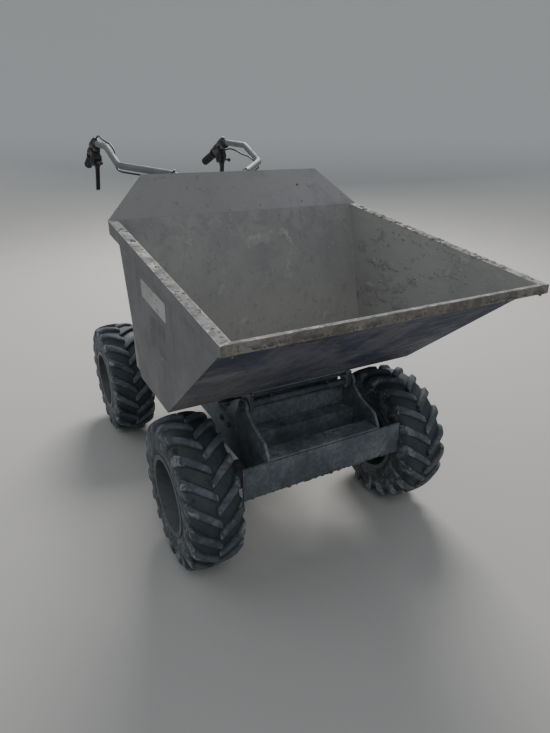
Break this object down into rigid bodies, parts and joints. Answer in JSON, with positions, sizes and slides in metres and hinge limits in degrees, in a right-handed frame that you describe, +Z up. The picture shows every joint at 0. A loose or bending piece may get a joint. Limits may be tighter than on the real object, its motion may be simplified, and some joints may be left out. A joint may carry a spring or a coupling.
{
  "type": "site dumper",
  "caption": "Walk-behind wheeled mini dumper with a high-sided open-front skip that tips forwards, lugged tyres, a low chassis and a two-grip handlebar.",
  "frame": {"origin": "on the ground, half way along the whole machine and on its centre line", "axes": "front of the machine towards -Y, its left side towards +X, +Z up"},
  "size_m": [0.802, 1.698, 1.079],
  "materials": {
    "rim_front_left": "pale grey paint, dusty",
    "tyre_front_left": "worn rubber with dried dust",
    "hub_front_left": "dark paint over a casting",
    "rim_front_right": "pale grey paint, dusty",
    "tyre_front_right": "worn rubber with dried dust",
    "hub_front_right": "dark paint over a casting",
    "rim_rear_left": "pale grey paint, dusty",
    "tyre_rear_left": "worn rubber with dried dust",
    "hub_rear_left": "dark paint over a casting",
    "rim_rear_right": "pale grey paint, dusty",
    "tyre_rear_right": "worn rubber with dried dust",
    "hub_rear_right": "dark paint over a casting",
    "front_axle": "dark blue-grey paint under dirt",
    "rear_axle": "dark blue-grey paint under dirt",
    "skip": "sheet steel grey with dried mortar",
    "hinge_pin": "bare steel, greased",
    "chassis": "dark teal-blue paint under dust",
    "rest_pads": "black rubber",
    "axle_clamps": "dark paint",
    "gearbox": "painted casting",
    "front_drive_shaft": "oiled steel",
    "rear_drive_shaft": "oiled steel",
    "engine": "cast aluminium",
    "starter_cover": "black painted sheet",
    "fuel_tank": "black painted sheet",
    "silencer": "heat-stained steel",
    "belt_guard": "dark teal-blue paint",
    "handlebar": "grey paint over tube",
    "grips": "black rubber",
    "lever_clamps": "black plastic",
    "brake_levers": "black coated metal",
    "console": "dark teal-blue paint",
    "catch_lever": "black painted steel",
    "pull_handle": "black plastic",
    "fuel_cap": "black plastic",
    "carburettor": "cast aluminium",
    "air_cleaner": "black plastic",
    "control_housing": "dark teal-blue paint",
    "gear_lever": "steel with a black knob",
    "throttle_lever": "plated steel",
    "control_cables": "black sheathed cable"
  },
  "bodies": {
    "chassis": {"front_axle": "front_axle", "rear_axle": "rear_axle", "hinge_pin": "hinge_pin", "chassis": "chassis", "rest_pads": "rest_pads", "axle_clamps": "axle_clamps", "gearbox": "gearbox", "front_drive_shaft": "front_drive_shaft", "rear_drive_shaft": "rear_drive_shaft", "engine": "engine", "starter_cover": "starter_cover", "fuel_tank": "fuel_tank", "silencer": "silencer", "belt_guard": "belt_guard", "handlebar": "handlebar", "grips": "grips", "lever_clamps": "lever_clamps", "brake_levers": "brake_levers", "console": "console", "catch_lever": "catch_lever", "pull_handle": "pull_handle", "fuel_cap": "fuel_cap", "carburettor": "carburettor", "air_cleaner": "air_cleaner", "control_housing": "control_housing", "gear_lever": "gear_lever", "throttle_lever": "throttle_lever", "control_cables": "control_cables"},
    "skip": {"skip": "skip"},
    "wheel_front_left": {"hub_front_left": "hub_front_left", "rim_front_left": "rim_front_left", "tyre_front_left": "tyre_front_left"},
    "wheel_front_right": {"hub_front_right": "hub_front_right", "rim_front_right": "rim_front_right", "tyre_front_right": "tyre_front_right"},
    "wheel_rear_left": {"hub_rear_left": "hub_rear_left", "rim_rear_left": "rim_rear_left", "tyre_rear_left": "tyre_rear_left"},
    "wheel_rear_right": {"hub_rear_right": "hub_rear_right", "rim_rear_right": "rim_rear_right", "tyre_rear_right": "tyre_rear_right"}
  },
  "joints": [
    {"name": "skip_tip", "type": "hinge", "parent": "chassis", "child": "skip", "pos_m": [0, -0.44, 0.424], "axis": [1, 0, 0], "range_deg": [0, 65]},
    {"name": "wheel_front_left", "type": "hinge", "parent": "chassis", "child": "wheel_front_left", "pos_m": [0.328, -0.432, 0.209], "axis": [1, 0, 0], "continuous": true},
    {"name": "wheel_front_right", "type": "hinge", "parent": "chassis", "child": "wheel_front_right", "pos_m": [-0.328, -0.432, 0.209], "axis": [1, 0, 0], "continuous": true},
    {"name": "wheel_rear_left", "type": "hinge", "parent": "chassis", "child": "wheel_rear_left", "pos_m": [0.314, 0.383, 0.209], "axis": [1, 0, 0], "continuous": true},
    {"name": "wheel_rear_right", "type": "hinge", "parent": "chassis", "child": "wheel_rear_right", "pos_m": [-0.314, 0.383, 0.209], "axis": [1, 0, 0], "continuous": true}
  ]
}
